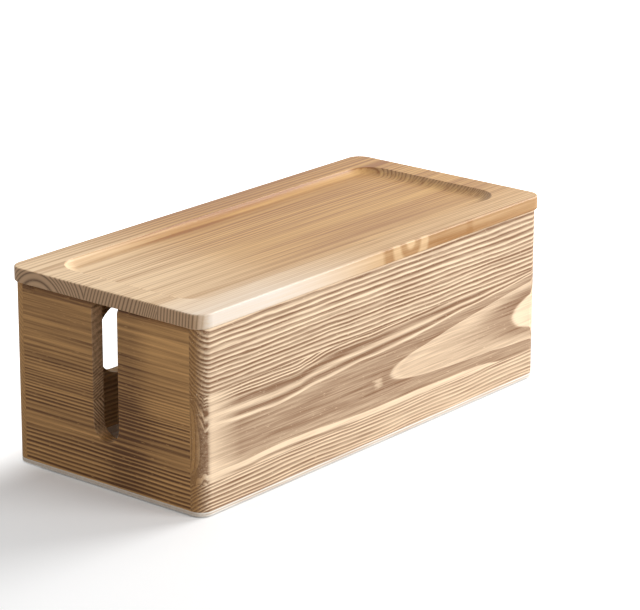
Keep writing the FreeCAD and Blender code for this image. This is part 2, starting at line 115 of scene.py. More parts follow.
class CableBoxColours(bpy.types.PropertyGroup):
    """Colours of the woods and the small parts."""
    front_pale: colour("Front pale", "Soft early wood of the flamed front wall", "#fbe0bf")
    front_dark: colour("Front dark", "Burnt late wood of the flamed front wall", "#866040")
    back_pale: colour("Back pale", "Soft early wood of the flamed back wall", "#d9b27e")
    back_dark: colour("Back dark", "Burnt late wood of the flamed back wall", "#84592f")
    end_pale: colour("End pale", "Soft early wood of the flamed end walls", "#e0ab6d")
    end_dark: colour("End dark", "Burnt late wood of the flamed end walls", "#5b350d")
    cut_pale: colour("Cut pale", "Early wood on the end walls' sawn ends", "#dcb48c")
    cut_dark: colour("Cut dark", "Late wood on the end walls' sawn ends", "#6a4826")
    lid_pale: colour("Lid pale", "Early wood of the planed lid", "#f0d0a6")
    lid_dark: colour("Lid dark", "Late wood of the planed lid", "#a9783f")
    lid_gold: colour("Lid gold", "Golden early wood over most of the lid", "#dbae6e")
    lid_amber: colour("Lid amber", "Golden late wood over most of the lid", "#99622a")
    lid_end_pale: colour("Lid end pale", "Early wood on the lid's sawn ends", "#d9b18a")
    lid_end_dark: colour("Lid end dark", "Late wood on the lid's sawn ends", "#735539")
    sapwood: colour("Sapwood", "Nearly white wood along the lid's front edge", "#f0e5da")
    batten: colour("Batten", "Planed wood of the battens", "#e2c294")
    ply: colour("Plywood", "Birch face of the base panel", "#f6f2ea")
    steel: colour("Steel", "Pins and brads", "#a9a6a0")
    brass: colour("Yellow zinc", "Screws in the battens", "#c9a85c")
    pad: colour("Pad", "Silicone foot pads", "#4a4641")


class CableBoxSizes(bpy.types.PropertyGroup):
    """Sizes of the surface detail and of the stage."""
    relief: bpy.props.FloatProperty(
        name="Brushed relief", description="How far the hard rings stand proud after brushing",
        default=0.00014, min=0.0, max=0.002, subtype="DISTANCE", unit="LENGTH")
    planed_relief: bpy.props.FloatProperty(
        name="Planed relief", description="Height of the rings on planed wood",
        default=0.00004, min=0.0, max=0.001, subtype="DISTANCE", unit="LENGTH")
    floor_radius: bpy.props.FloatProperty(
        name="Floor radius", description="Radius of the round studio floor",
        default=12.0, min=1.0, max=50.0, subtype="DISTANCE", unit="LENGTH")


def add(tree, kind, inputs=(), **settings):
    """Add a node, set it up, fill or link its inputs, and return its outputs."""
    new = tree.nodes.new("ShaderNode" + kind)
    for name, value in settings.items():
        if name == "stops":
            ramp = new.color_ramp
            while len(ramp.elements) < len(value):
                ramp.elements.new(1.0)
            for element, (place, level) in zip(ramp.elements, value):
                element.position = place
                element.color = (level, level, level, 1.0)
        elif name == "points":
            curve = new.mapping.curves[0]
            for place, level in value[1:-1]:
                curve.points.new(place, level)
            for point, (place, level) in zip(curve.points, value):
                point.location = (place, level)
                point.handle_type = "AUTO_CLAMPED"
            new.mapping.update()
        else:
            setattr(new, name, value)
    for key, value in (inputs.items() if isinstance(inputs, dict) else enumerate(inputs)):
        if isinstance(value, bpy.types.NodeSocket):
            tree.links.new(value, new.inputs[key])
        elif value is not None:
            new.inputs[key].default_value = value
    return new.outputs


def start(name):
    """A new material with its tree, its place in millimetres and that place's three parts."""
    material = bpy.data.materials.new(name)
    material.use_nodes = True
    tree = material.node_tree
    tree.nodes.clear()
    metres = add(tree, "TexCoord")["Object"]
    place = add(tree, "VectorMath", {0: metres, "Scale": 1 / MM}, operation="SCALE")[0]
    return material, tree, place, add(tree, "SeparateXYZ", [place])


def noise(tree, place, grain, detail=2.0, seed=0.0):
    """Noise stretched along the grain: its grain sizes in millimetres along X, Y and Z."""
    spot = add(tree, "Mapping", {"Vector": place, "Location": (seed, seed * 1.7, seed * 2.3),
                                 "Scale": tuple(1 / size for size in grain)}, vector_type="POINT")[0]
    return add(tree, "TexNoise", {"Vector": spot, "Scale": 1.0, "Detail": detail, "Roughness": 0.55})[0]


def follow(tree, value, points):
    """The level that a smooth line through the points has at the value."""
    places, levels = zip(*points)
    low, high = min(levels), max(levels)
    shape = [((place - places[0]) / (places[-1] - places[0]), (level - low) / (high - low))
             for place, level in points]
    spot = add(tree, "MapRange", {"Value": value, "From Min": places[0], "From Max": places[-1]})[0]
    return add(tree, "Math", [add(tree, "FloatCurve", {"Value": spot}, points=shape)[0], high - low, low],
               operation="MULTIPLY_ADD")[0]


def distance(tree, place, centre, sizes):
    """How far a place is from a centre, counted in sizes. An axis without a size doesn't count."""
    scale = [1 / size if size else 0.0 for size in sizes]
    spot = add(tree, "Mapping", {"Vector": place, "Scale": tuple(scale),
                                 "Location": tuple(-part * each for part, each in zip(centre, scale))},
               vector_type="POINT")[0]
    return add(tree, "VectorMath", [spot], operation="LENGTH")["Value"]


# A ring from its soft pale start to its hard dark end, over 0 to 1. Its dark line is at RING_DARK.
RING = [(0.0, 0.4), (0.12, 0.95), (0.25, 1.0), (0.4, 0.62), (0.6, 0.18), (0.8, 0.0), (0.93, 0.08),
        (1.0, 0.4)]
RING_DARK = 0.78
# A ring on planed wood: a thin dark line between wide pale ones.
PLANED_RING = [(0.0, 0.65), (0.1, 0.9), (0.35, 1.0), (0.55, 0.85), (0.7, 0.3), (0.78, 0.0), (0.86, 0.12),
               (1.0, 0.65)]


def rings(tree, across, lines, shape=RING):
    """The tone of rings whose dark lines lie at the given distances, 1 for pale and 0 for dark."""
    turns = follow(tree, across, [(line, float(index)) for index, line in enumerate(lines)])
    turns = add(tree, "Math", [turns, RING_DARK], operation="ADD")[0]
    part = add(tree, "Math", [turns], operation="FRACT")[0]
    return add(tree, "ValToRGB", [part], stops=shape)[0]


def even_rings(tree, across, spacing, shape=RING):
    """The tone of rings with one spacing."""
    turns = add(tree, "Math", [across, 1 / spacing], operation="MULTIPLY")[0]
    part = add(tree, "Math", [turns], operation="FRACT")[0]
    return add(tree, "ValToRGB", [part], stops=shape)[0]


# What fine fibres, longer streaks and broad clouds add to a wood's tone, and what is taken off again so
# that its mean stays about the same.
FIBRE_SHARE = 0.85
STREAK_SHARE = 0.75
CLOUD_SHARE = 0.35
SHARES_MEAN = 0.985
# How squarely a face looks along the grain where end grain starts to show, and where it is full.
CUT_START = 0.45
CUT_FULL = 0.95
# The noise levels at which a fleck starts and is full.
FLECK_START = 0.68
FLECK_FULL = 0.74
# The bump of the fibres, against the rings' bump of 1.
FIBRE_BUMP = 0.5
WOOD_IOR = 1.5
# How end grain scales and shifts the tone: on the long walls and on the end walls.
SOAKED = (0.38, 0.34)
END_WALL_SOAKED = (1.1, 0.1)


def finish_wood(material, tree, place, tone, pale, dark, grain, relief, rough=FLAMED_ROUGH,
                fleck=FLAMED_FLECK, end_tone=SOAKED, end_colours=None, end_rings=None):
    """Fibres, flecks, end grain and relief over a ring tone, and the wood's shader.

    Tone 1 is the pale colour and tone 0 the dark one. On end grain the tone, or the end rings in its
    place, is scaled and shifted by end_tone, and runs between the end colours if they are given.
    """
    fibre = noise(tree, place, grain, 3.0, 11.0)
    streak = noise(tree, place, [size * (2.5 if size < LONG_GRAIN else 1.5) for size in grain], 2.0, 19.0)
    cloud = noise(tree, place, [size * 7 for size in grain], 1.0, 4.0)
    toned = tone
    for texture, share in ((fibre, FIBRE_SHARE), (streak, STREAK_SHARE), (cloud, CLOUD_SHARE)):
        toned = add(tree, "Math", [texture, share, toned], operation="MULTIPLY_ADD")[0]
    toned = add(tree, "Math", [toned, SHARES_MEAN], operation="SUBTRACT")[0]

    # End grain drinks the flame's soot: it changes wherever a face looks along the grain.
    facing = add(tree, "SeparateXYZ", [add(tree, "TexCoord")["Normal"]])["Y" if grain[1] > grain[0] else "X"]
    facing = add(tree, "Math", [facing], operation="ABSOLUTE")[0]
    cut = add(tree, "MapRange", {"Value": facing, "From Min": CUT_START, "From Max": CUT_FULL})[0]
    soaked = add(tree, "Math", [toned if end_rings is None else end_rings, *end_tone],
                 operation="MULTIPLY_ADD")[0]
    toned = add(tree, "Mix", {0: cut, 2: toned, 3: soaked}, data_type="FLOAT")[0]
    body = add(tree, "Mix", {0: toned, 6: dark, 7: pale}, data_type="RGBA")[2]
    if end_colours:
        sooty = add(tree, "Mix", {0: toned, 6: end_colours[0], 7: end_colours[1]}, data_type="RGBA")[2]
        body = add(tree, "Mix", {0: cut, 6: body, 7: sooty}, data_type="RGBA")[2]

    flecks = noise(tree, place, [size * (0.9 if size < LONG_GRAIN else 0.1) for size in grain], 1.0, 31.0)
    flecks = add(tree, "MapRange", {"Value": flecks, "From Min": FLECK_START, "From Max": FLECK_FULL,
                                    "To Max": fleck})[0]
    body = add(tree, "Mix", {0: flecks, 6: body, 7: pale}, data_type="RGBA")[2]
    proud = add(tree, "Math", [1.0, tone], operation="SUBTRACT")[0]
    height = add(tree, "Math", [fibre, FIBRE_BUMP, proud], operation="MULTIPLY_ADD")[0]
    bump = add(tree, "Bump", {"Strength": 1.0, "Distance": relief, "Height": height})[0]
    roughness = add(tree, "MapRange", {"Value": toned, "To Min": rough[1], "To Max": rough[0]})[0]
    shader = add(tree, "BsdfPrincipled", {"Base Color": body, "Roughness": roughness, "IOR": WOOD_IOR,
                                          "Normal": bump})[0]
    add(tree, "OutputMaterial", [shader])
    return material


# Where the flame's darkening of a corner starts and is full, from the box's middle, and its strength.
CORNER_BURN = (189.0, 197.0, 0.3)


def burnt_corner(tree, x, tone):
    """The flame ran up the upright corners and left them darker."""
    out = add(tree, "Math", [x], operation="ABSOLUTE")[0]
    darkening = add(tree, "MapRange", {"Value": out, "From Min": CORNER_BURN[0], "From Max": CORNER_BURN[1],
                                  "To Max": CORNER_BURN[2]})[0]
    return add(tree, "Math", [tone, darkening], operation="SUBTRACT")[0]


def finish_front(material, tree, place, tone, colours, sizes):
    """The front wall's burnt corners and its finish, which its three staves share."""
    x = add(tree, "SeparateXYZ", [place])["X"]
    return finish_wood(material, tree, place, burnt_corner(tree, x, tone), colours.front_pale,
                       colours.front_dark, LONG_WALL_GRAIN, sizes.relief,
                       end_colours=(colours.end_dark, colours.end_pale))


def finish_end(material, tree, place, tone, colours, sizes):
    """The end walls' finish."""
    return finish_wood(material, tree, place, tone, colours.end_pale, colours.end_dark, END_WALL_GRAIN,
                       sizes.relief, end_tone=END_WALL_SOAKED,
                       end_colours=(colours.cut_dark, colours.cut_pale))


def finish_lid(material, tree, place, tone, pale, dark, ends, end_lift, colours, sizes):
    """The lid's satin finish, with clean rings on its sawn ends."""
    return finish_wood(material, tree, place, tone, pale, dark, LID_GRAIN, sizes.planed_relief, PLANED_ROUGH,
                       PLANED_FLECK, (0.8, end_lift), (colours.lid_end_dark, colours.lid_end_pale), ends)


def slanted(tree, y, z, slant, face, wave, swing):
    """A height that rises by the slant for each millimetre in from a face, and sways with the wave."""
    depth = add(tree, "Math", [y, slant, z], operation="MULTIPLY_ADD")[0]
    swayed = add(tree, "Math", [wave, swing, depth], operation="MULTIPLY_ADD")[0]
    return add(tree, "Math", [swayed, slant * face + swing / 2], operation="SUBTRACT")[0]


# The front's lower stave: its rings' heights, how much higher they lie along X, how far they fade along
# X, and the tone that they fade to.
FRONT_LOWER_RINGS = [-8, -5, -2, 1.5, 5, 7.2, 9.8, 13, 16.2, 19.3, 22, 24.3, 27, 30, 33, 36]
FRONT_LOWER_DRIFT = [(-198, 0.0), (-100, 0.6), (-50, 0.0), (0, -1.2), (60, -1.0), (198, 0.6)]
FRONT_LOWER_FADE = [(-198, 0.0), (-150, 0.1), (0, 0.35), (100, 0.45), (198, 0.3)]
FADED_TONE = 0.74


def flamed_front_lower(colours, sizes):
    """Flamed and brushed softwood: burnt rings stand proud, soft wood between them stays pale."""
    material, tree, place, (x, y, z) = start("Flamed softwood front lower")
    wave = noise(tree, place, (80, 40, 30), 1.0, 2.0)
    across = slanted(tree, y, z, 0.7, FRONT_FACE, wave, 5.0)
    drift = follow(tree, x, FRONT_LOWER_DRIFT)
    across = add(tree, "Math", [across, drift], operation="SUBTRACT")[0]
    tone = rings(tree, across, FRONT_LOWER_RINGS)
    fade = follow(tree, x, FRONT_LOWER_FADE)
    tone = add(tree, "Mix", {0: fade, 2: tone, 3: FADED_TONE}, data_type="FLOAT")[0]
    return finish_front(material, tree, place, tone, colours, sizes)


# The front's middle stave, as heights along the wall: the pale line over its dark field, the burnt
# band above that, and the field's lower edge.
FIELD_TOP = [(-198, 69), (-180, 66.5), (-160, 64.6), (-120, 63.3), (-100, 64.4), (-80, 66.8), (-60, 68.2),
             (-20, 70.8), (0, 71.5), (40, 73.5), (100, 79), (150, 82.5), (198, 87)]
BURNT_BAND = [(-198, 77), (-150, 77.7), (-105, 77.2), (-85, 79), (-55, 82.2), (0, 83.2), (50, 85),
              (100, 86.7), (150, 87.6), (198, 89.5)]
FIELD_BOTTOM = [(-198, 32), (-160, 31.5), (-130, 32.5), (-100, 32.8), (-50, 31), (0, 29.6), (50, 30),
                (100, 29.5), (130, 27.5), (150, 25), (198, 22)]
# How far along X the lens's edge lies at each share of the field's height off the lens's middle.
LENS_RUN = [(0.0, 0), (0.08, 3), (0.14, 8), (0.19, 18), (0.25, 38), (0.33, 88), (0.36, 138), (0.38, 190),
            (0.45, 480), (0.55, 800)]
# The lens's middle along the wall, as a share of the field's height.
LENS_MIDDLE = [(0, 0.49), (100, 0.49), (160, 0.54), (200, 0.54)]
# Tones along the lens, from LENS_SPAN before the middle of the wall to as far after it.
LENS_SPAN = 400.0
LENS_TONES = [(-400, 0.32), (-150, 0.3), (-60, 0.24), (0, 0.22), (9, 0.22), (14, 0.86), (24, 0.68),
              (50, 0.66), (85, 0.62), (112, 0.46), (145, 0.25), (162, 0.15), (167, 0.98), (185, 0.88),
              (260, 0.9), (330, 0.15), (345, 0.9)]
# Tones of the two bands over the field, counted from its top in BAND_SPAN times the way to the burnt
# band, the rings above that band, and the tones of the UNDER_SPAN millimetres below the field.
BAND_SPAN = 1.6
BAND_TONES = [(0.0, 1.0), (0.05, 0.85), (0.12, 0.2), (0.22, 0.08), (0.3, 0.5), (0.36, 0.92), (0.44, 0.7),
              (0.52, 0.18), (0.66, 0.06), (0.76, 0.5), (0.82, 0.9), (1.0, 0.7)]
UPPER_RINGS = [-3, 0, 4.2, 6.8, 9, 12, 15]
UNDER_SPAN = 12
UNDER_TONES = [(0.0, 0.3), (0.2, 0.75), (0.4, 0.8), (0.5, 0.3), (0.6, 0.3), (0.68, 0.9), (0.95, 1.0),
               (1.0, 0.6)]
# The wood turns pale from PALE_START towards the left corner.
PALE_START = -158.0
PALE_FULL = -185.0
PALE_TONE = 0.85
# A small frayed pale spot before the lens: its centre and its sizes, how much it is frayed, where its
# edge starts and ends, its strength and its tone.
SPOT_CENTRE = (-2, 0, 48.5)
SPOT_SIZES = (6, None, 4.5)
SPOT_FRAY = 2.4
SPOT_EDGE = (2.3, 1.3)
SPOT_STRENGTH = 0.6
SPOT_TONE = 0.95
# How far the stave's lines sway up and down in all.
FIELD_SWING = 2.4
# How far the figure moves along the stave for each millimetre in from its face.
FIGURE_SHIFT = 54.0


def flamed_front_middle(colours, sizes):
    """Flat-sawn stave: burnt bands over a dark field that holds a long pale lens."""
    material, tree, place, (x, y, z) = start("Flamed softwood front middle")
    wave = noise(tree, place, (50, 30, 14), 2.0, 7.0)
    height = add(tree, "Math", [wave, FIELD_SWING, z], operation="MULTIPLY_ADD")[0]
    height = add(tree, "Math", [height, FIELD_SWING / 2], operation="SUBTRACT")[0]
    along = add(tree, "Math", [y, FIGURE_SHIFT, x], operation="MULTIPLY_ADD")[0]
    along = add(tree, "Math", [along, FIGURE_SHIFT * FRONT_FACE], operation="SUBTRACT")[0]
    top, band, bottom = (follow(tree, along, line) for line in (FIELD_TOP, BURNT_BAND, FIELD_BOTTOM))

    over = add(tree, "Math", [height, top], operation="SUBTRACT")[0]
    span = add(tree, "Math", [band, top], operation="SUBTRACT")[0]
    share = add(tree, "Math", [over, span], operation="DIVIDE")[0]
    share = add(tree, "Math", [share, 1 / BAND_SPAN], operation="MULTIPLY")[0]
    bands = add(tree, "ValToRGB", [share], stops=BAND_TONES)[0]
    above = add(tree, "Math", [height, band], operation="SUBTRACT")[0]
    lines = rings(tree, above, UPPER_RINGS)
    high = add(tree, "MapRange", {"Value": above, "From Min": 2.0, "From Max": 3.0})[0]
    bands = add(tree, "Mix", {0: high, 2: bands, 3: lines}, data_type="FLOAT")[0]

    deep = add(tree, "Math", [height, bottom], operation="SUBTRACT")[0]
    room = add(tree, "Math", [top, bottom], operation="SUBTRACT")[0]
    level = add(tree, "Math", [deep, room], operation="DIVIDE")[0]
    off = add(tree, "Math", [level, follow(tree, along, LENS_MIDDLE)], operation="SUBTRACT")[0]
    off = add(tree, "Math", [off], operation="ABSOLUTE")[0]
    reach = add(tree, "Math", [along, follow(tree, off, LENS_RUN)], operation="SUBTRACT")[0]
    reach = add(tree, "MapRange", {"Value": reach, "From Min": -LENS_SPAN, "From Max": LENS_SPAN})[0]
    stops = [((run + LENS_SPAN) / (2 * LENS_SPAN), tone) for run, tone in LENS_TONES]
    field = add(tree, "ValToRGB", [reach], stops=stops)[0]

    under = add(tree, "Math", [deep, 1 / UNDER_SPAN, 1.0], operation="MULTIPLY_ADD")[0]
    under = add(tree, "ValToRGB", [under], stops=UNDER_TONES)[0]
    is_over = add(tree, "MapRange", {"Value": over, "From Min": -0.9, "From Max": 0.1})[0]
    is_under = add(tree, "MapRange", {"Value": deep, "From Min": 0.5, "From Max": -0.5})[0]
    tone = add(tree, "Mix", {0: is_over, 2: field, 3: bands}, data_type="FLOAT")[0]
    tone = add(tree, "Mix", {0: is_under, 2: tone, 3: under}, data_type="FLOAT")[0]
    faded = add(tree, "MapRange", {"Value": along, "From Min": PALE_START, "From Max": PALE_FULL,
                                   "To Max": PALE_TONE})[0]
    tone = add(tree, "Mix", {0: faded, 2: tone, 3: PALE_TONE}, data_type="FLOAT")[0]
    near = distance(tree, place, SPOT_CENTRE, SPOT_SIZES)
    frayed = noise(tree, place, (7, 3, 2.2), 2.0, 45.0)
    near = add(tree, "Math", [frayed, SPOT_FRAY, near], operation="MULTIPLY_ADD")[0]
    near = add(tree, "MapRange", {"Value": near, "From Min": SPOT_EDGE[0], "From Max": SPOT_EDGE[1],
                                  "To Max": SPOT_STRENGTH})[0]
    tone = add(tree, "Mix", {0: near, 2: tone, 3: SPOT_TONE}, data_type="FLOAT")[0]
    return finish_front(material, tree, place, tone, colours, sizes)


# The front's upper stave: its rings' heights at the face.
FRONT_UPPER_RINGS = [76, 79, 82, 85, 88, 91.2, 94.5, 98, 101.5, 104.5, 107.5, 111, 114.3, 118, 122.6, 127,
                     130.8, 135.2, 139.5]
# The grain of the stretches that the flame caught, how strongly a line shows at the least, and the tone
# that it fades to.
CAUGHT_GRAIN = (55, 8, 3.5)
CAUGHT_LEAST = 0.62
MISSED_TONE = 0.53


def flamed_front_upper(colours, sizes):
    """Rift-sawn stave: straight burnt lines, 3 to 4.6 mm apart."""
    material, tree, place, parts = start("Flamed softwood front upper")
    wave = noise(tree, place, (90, 40, 20), 4.0, 3.0)
    across = slanted(tree, parts["Y"], parts["Z"], -0.9, FRONT_FACE, wave, 5.0)
    tone = rings(tree, across, FRONT_UPPER_RINGS)
    # The flame caught some stretches of a line more than others.
    caught = noise(tree, place, CAUGHT_GRAIN, 2.0, 43.0)
    caught = add(tree, "MapRange", {"Value": caught, "From Min": 0.36, "From Max": 0.6,
                                    "To Min": CAUGHT_LEAST})[0]
    tone = add(tree, "Mix", {0: caught, 2: MISSED_TONE, 3: tone}, data_type="FLOAT")[0]
    return finish_front(material, tree, place, tone, colours, sizes)


# The back wall's line spacing, and what its lines and its broad clouds each add to its tone.
BACK_SPACING = 3.4
BACK_SHARE = 0.6


def flamed_back(colours, sizes):
    """Back wall: burnt lines, one spacing apart, that wander over the board."""
    material, tree, place, parts = start("Flamed softwood back")
    wave = noise(tree, place, (210, 60, 60), 2.0, 13.0)
    across = slanted(tree, parts["Y"], parts["Z"], -0.8, BACK_FACE, wave, 12.0)
    cloud = noise(tree, place, (160, 20, 12), 1.0, 17.0)
    tone = add(tree, "Math", [even_rings(tree, across, BACK_SPACING), BACK_SHARE], operation="MULTIPLY")[0]
    tone = add(tree, "Math", [cloud, BACK_SHARE, tone], operation="MULTIPLY_ADD")[0]
    return finish_wood(material, tree, place, tone, colours.back_pale, colours.back_dark, LONG_WALL_GRAIN,
                       sizes.relief, end_colours=(colours.end_dark, colours.end_pale))


# How much painted shade darkens the end walls beside their slot, across them and up them.
END_SHADE_ACROSS = [(-92, 0.0), (-62, 0.03), (-46, 0.11), (-32, 0.26), (-18, 0.34), (-2, 0.14), (20, 0.03),
                 (92, 0.0)]
END_SHADE_UP = [(0, 0.9), (30, 1.0), (60, 1.0), (80, 0.8), (100, 0.6), (128, 0.2), (140, 0.0)]
# The end walls' lower stave: its rings' heights, how calm they are, and the tone that they calm to.
END_LOWER_RINGS = [-1, 3, 6.5, 9.5, 12.5, 15.8, 19, 22.6, 26, 28.5, 32, 36, 40, 44, 48, 51.5, 54.5, 57,
                   59.8, 62, 65, 68, 72, 76]
END_LOWER_CALM = [(0, 0.25), (30, 0.2), (36, 0.7), (41, 0.75), (46, 0.55), (52, 0.35), (56, 0.2), (65, 0.2)]
END_LOWER_TONE = [(0, 0.5), (34, 0.48), (39, 0.72), (44, 0.32), (60, 0.3)]
# Their upper staves: the rings' heights, how strongly they show, and the tone under them.
END_UPPER_RINGS = [56, 58.5, 61, 63.5, 66, 68.5, 70.5, 72.5, 74.5, 76.5, 79, 81.5, 84, 87, 90, 93, 97, 102,
                   105, 110, 116, 121, 127, 132, 137, 142]
END_UPPER_SHOW = [(60, 0.6), (72, 0.55), (84, 0.5), (90, 0.34), (106, 0.28), (138, 0.22)]
END_UPPER_TONE = [(60, 0.42), (80, 0.44), (92, 0.5), (105, 0.54), (138, 0.54)]
# How much paler the front half is, by height, where the flame missed it, and where that starts and is
# full along Y.
MISSED_UP = [(60, 0.2), (70, 0.22), (80, 0.1), (90, 0.06), (104, 0.2), (115, 0.26), (126, 0.2), (138, 0.1)]
MISSED_START = -22.0
MISSED_FULL = -48.0
# The finger bevel's lower edge at the middle of the wall, how much lower it is for each millimetre
# towards the back, and how much darker the bevel is: partly charred wood, partly painted shade
# under the lid's overhang.
BEVEL_START = 132.4
BEVEL_FULL = 133.4
BEVEL_RISE = 0.016
BEVEL_BURN_AND_SHADE = 0.4


def painted_end_shade(tree, y, z, tone):
    """Painted shade: the end walls are drawn darker beside the slot, most on its front side and low down."""
    darkening = add(tree, "Math", [follow(tree, y, END_SHADE_ACROSS), follow(tree, z, END_SHADE_UP)],
               operation="MULTIPLY")[0]
    return add(tree, "Math", [tone, darkening], operation="SUBTRACT")[0]


def flamed_end_lower(colours, sizes):
    """End wall's lower stave: strong burnt lines low down, a calm field above them."""
    material, tree, place, (x, y, z) = start("Flamed softwood end lower")
    wave = noise(tree, place, (40, 90, 30), 1.0, 5.0)
    side = add(tree, "Math", [x], operation="ABSOLUTE")[0]
    across = slanted(tree, side, z, -1.1, -LEFT_FACE, wave, 2.4)
    tone = add(tree, "Mix", {0: follow(tree, z, END_LOWER_CALM), 2: rings(tree, across, END_LOWER_RINGS),
                             3: follow(tree, z, END_LOWER_TONE)}, data_type="FLOAT")[0]
    # The wood beside the slot gets painted shade.
    return finish_end(material, tree, place, painted_end_shade(tree, y, z, tone), colours, sizes)


def flamed_end_upper(colours, sizes):
    """End wall's upper staves: smooth brown with faint lines, paler towards the front."""
    material, tree, place, (x, y, z) = start("Flamed softwood end upper")
    wave = noise(tree, place, (40, 110, 30), 1.0, 6.0)
    side = add(tree, "Math", [x], operation="ABSOLUTE")[0]
    across = slanted(tree, side, z, 0.4, -LEFT_FACE, wave, 2.4)
    tone = add(tree, "Mix", {0: follow(tree, z, END_UPPER_SHOW), 2: follow(tree, z, END_UPPER_TONE),
                             3: rings(tree, across, END_UPPER_RINGS)}, data_type="FLOAT")[0]
    # The wood beside the slot gets painted shade.
    tone = painted_end_shade(tree, y, z, tone)
    front = add(tree, "MapRange", {"Value": y, "From Min": MISSED_START, "From Max": MISSED_FULL},
                interpolation_type="SMOOTHSTEP")[0]
    tone = add(tree, "Math", [front, follow(tree, z, MISSED_UP), tone], operation="MULTIPLY_ADD")[0]
    # The finger bevel under the lid and its arris are darker: partly charred by the flame, partly painted
    # shade under the lid.
    edge = add(tree, "Math", [y, BEVEL_RISE, z], operation="MULTIPLY_ADD")[0]
    edge = add(tree, "MapRange", {"Value": edge, "From Min": BEVEL_START, "From Max": BEVEL_FULL,
                                  "To Max": BEVEL_BURN_AND_SHADE})[0]
    tone = add(tree, "Math", [tone, edge], operation="SUBTRACT")[0]
    return finish_end(material, tree, place, tone, colours, sizes)


# The lid's long streaks: their grain and their share of the tone, and the tone that the rings fade to.
LID_STREAK_GRAIN = (260, 4.5, 12)
LID_STREAK_SHARE = 1.3
LID_MEAN = 0.52
# The lid: how golden it is along it and across it, how its tone falls along it, and how much darker it
# is towards the back, which its left end isn't. These are partly the wood's own colour and partly painted
# shade, which deepens towards the right and the back.
GOLD_ALONG = [(-200, 0.0), (-155, 0.05), (-95, 0.42), (-35, 0.95), (25, 1.0), (200, 1.0)]
GOLD_ACROSS = [(-92.5, 0.3), (-80, 0.42), (-50, 0.75), (-20, 0.95), (92.5, 1.0)]
LID_FALL = [(-200, -0.4), (-150, -0.5), (-60, -0.68), (40, -0.8), (200, -0.75)]
WOOD_AND_SHADE_ALONG = [(-200, 0.0), (-150, 0.1), (-60, 0.9), (0, 1.0), (200, 1.0)]
WOOD_AND_SHADE_ACROSS = [(-92, 0.0), (30, 0.0), (55, 0.15), (92, 0.22)]
# How the lid's rings wander: the wave's grain and its swing.
LID_WAVE = (120, 60, 60)
LID_SWING = 3.0
# The back stave's heart, on the lid's end, and its rings' radii round that.
HEART = (0, 62, 124)
LID_BACK_RINGS = [0, 8, 15, 21, 26.5, 29, 31.5, 34, 37, 39.5, 42, 45, 49, 53, 57]
# Where the middle stave's rings meet the lid's top.
LID_MIDDLE_RINGS = [-60, -57, -55, -53, -51, -49, -47, -45, -43, -41, -38.5, -36, -33, -29.5, -26, -22.5,
                    -19, -16, -13, -10, -7, -4, -1, 2, 5, 8, 11, 14, 17, 20, 23]
# The front stave: how its rings drift along it, the middle of the ring shells that dip through its edge,
# the tones of SHELL_SPAN millimetres out from that, and the tones of the darker edge to their right.
LID_FRONT_DRIFT = [(-200, 0.0), (-30, 0.0), (60, 5.0), (200, 6.0)]
DIP_CENTRE = (32, 0, 150)
DIP_SIZES = (1, None, 1.25)
SHELL_SPAN = 120
SHELL_TONES = [(0.0, 0.8), (0.035, 0.75), (0.055, 0.25), (0.09, 0.2), (0.115, 0.75), (0.165, 0.72),
               (0.19, 0.2), (0.25, 0.25), (0.285, 0.7), (1.0, 0.75)]
EDGE_TONES = [(0, 0.14), (60, 0.12), (98, 0.14), (104, 0.0), (110, 0.2), (200, 0.26)]
# How white the sapwood is from the front edge inwards. It is there from SAPWOOD_START to the left end.
SAPWOOD_ACROSS = [(-92.5, 1.0), (-90, 0.7), (-80, 0.45), (-60, 0.2), (-52, 0.1)]
SAPWOOD_START = 0.0
SAPWOOD_FULL = -125.0


def lid_colours(tree, place, colours):
    """The lid is golden, paler and cooler towards its left end and front: partly wood colour, partly painted
    shade.
    """
    parts = add(tree, "SeparateXYZ", [place])
    along, across = follow(tree, parts["X"], GOLD_ALONG), follow(tree, parts["Y"], GOLD_ACROSS)
    golden = add(tree, "Math", [along, across], operation="MULTIPLY")[0]
    return [add(tree, "Mix", {0: golden, 6: plain, 7: gold}, data_type="RGBA")[2]
            for plain, gold in ((colours.lid_pale, colours.lid_gold), (colours.lid_dark, colours.lid_amber))]


def lid_streaks(tree, place, tone, strength):
    """Ring tone softened by planing, over long streaks, and darker away from the left front corner (partly
    painted shade).
    """
    streaks = noise(tree, place, LID_STREAK_GRAIN, 3.0, 41.0)
    soft = add(tree, "Mix", {0: strength, 2: LID_MEAN, 3: tone}, data_type="FLOAT")[0]
    soft = add(tree, "Math", [streaks, LID_STREAK_SHARE, soft], operation="MULTIPLY_ADD")[0]
    parts = add(tree, "SeparateXYZ", [place])
    # Darker towards the right and the back: partly the wood's own colour, partly painted shade.
    soft = add(tree, "Math", [soft, follow(tree, parts["X"], LID_FALL)], operation="ADD")[0]
    along, across = follow(tree, parts["X"], WOOD_AND_SHADE_ALONG), follow(tree, parts["Y"], WOOD_AND_SHADE_ACROSS)
    shade = add(tree, "Math", [along, across], operation="MULTIPLY")[0]
    return add(tree, "Math", [soft, shade], operation="SUBTRACT")[0]


def planed_lid_back(colours, sizes):
    """Planed lid stave with its heart under the top: arcs on its end, wide figure on its face."""
    material, tree, place = start("Planed softwood lid back")[:3]
    wave = noise(tree, place, LID_WAVE, 1.0, 8.0)
    away = distance(tree, place, HEART, (None, 1, 1))
    away = add(tree, "Math", [wave, LID_SWING, away], operation="MULTIPLY_ADD")[0]
    ends = rings(tree, away, LID_BACK_RINGS, PLANED_RING)
    tone = lid_streaks(tree, place, ends, 0.6)
    return finish_lid(material, tree, place, tone, *lid_colours(tree, place, colours), ends, 0.0, colours,
                      sizes)


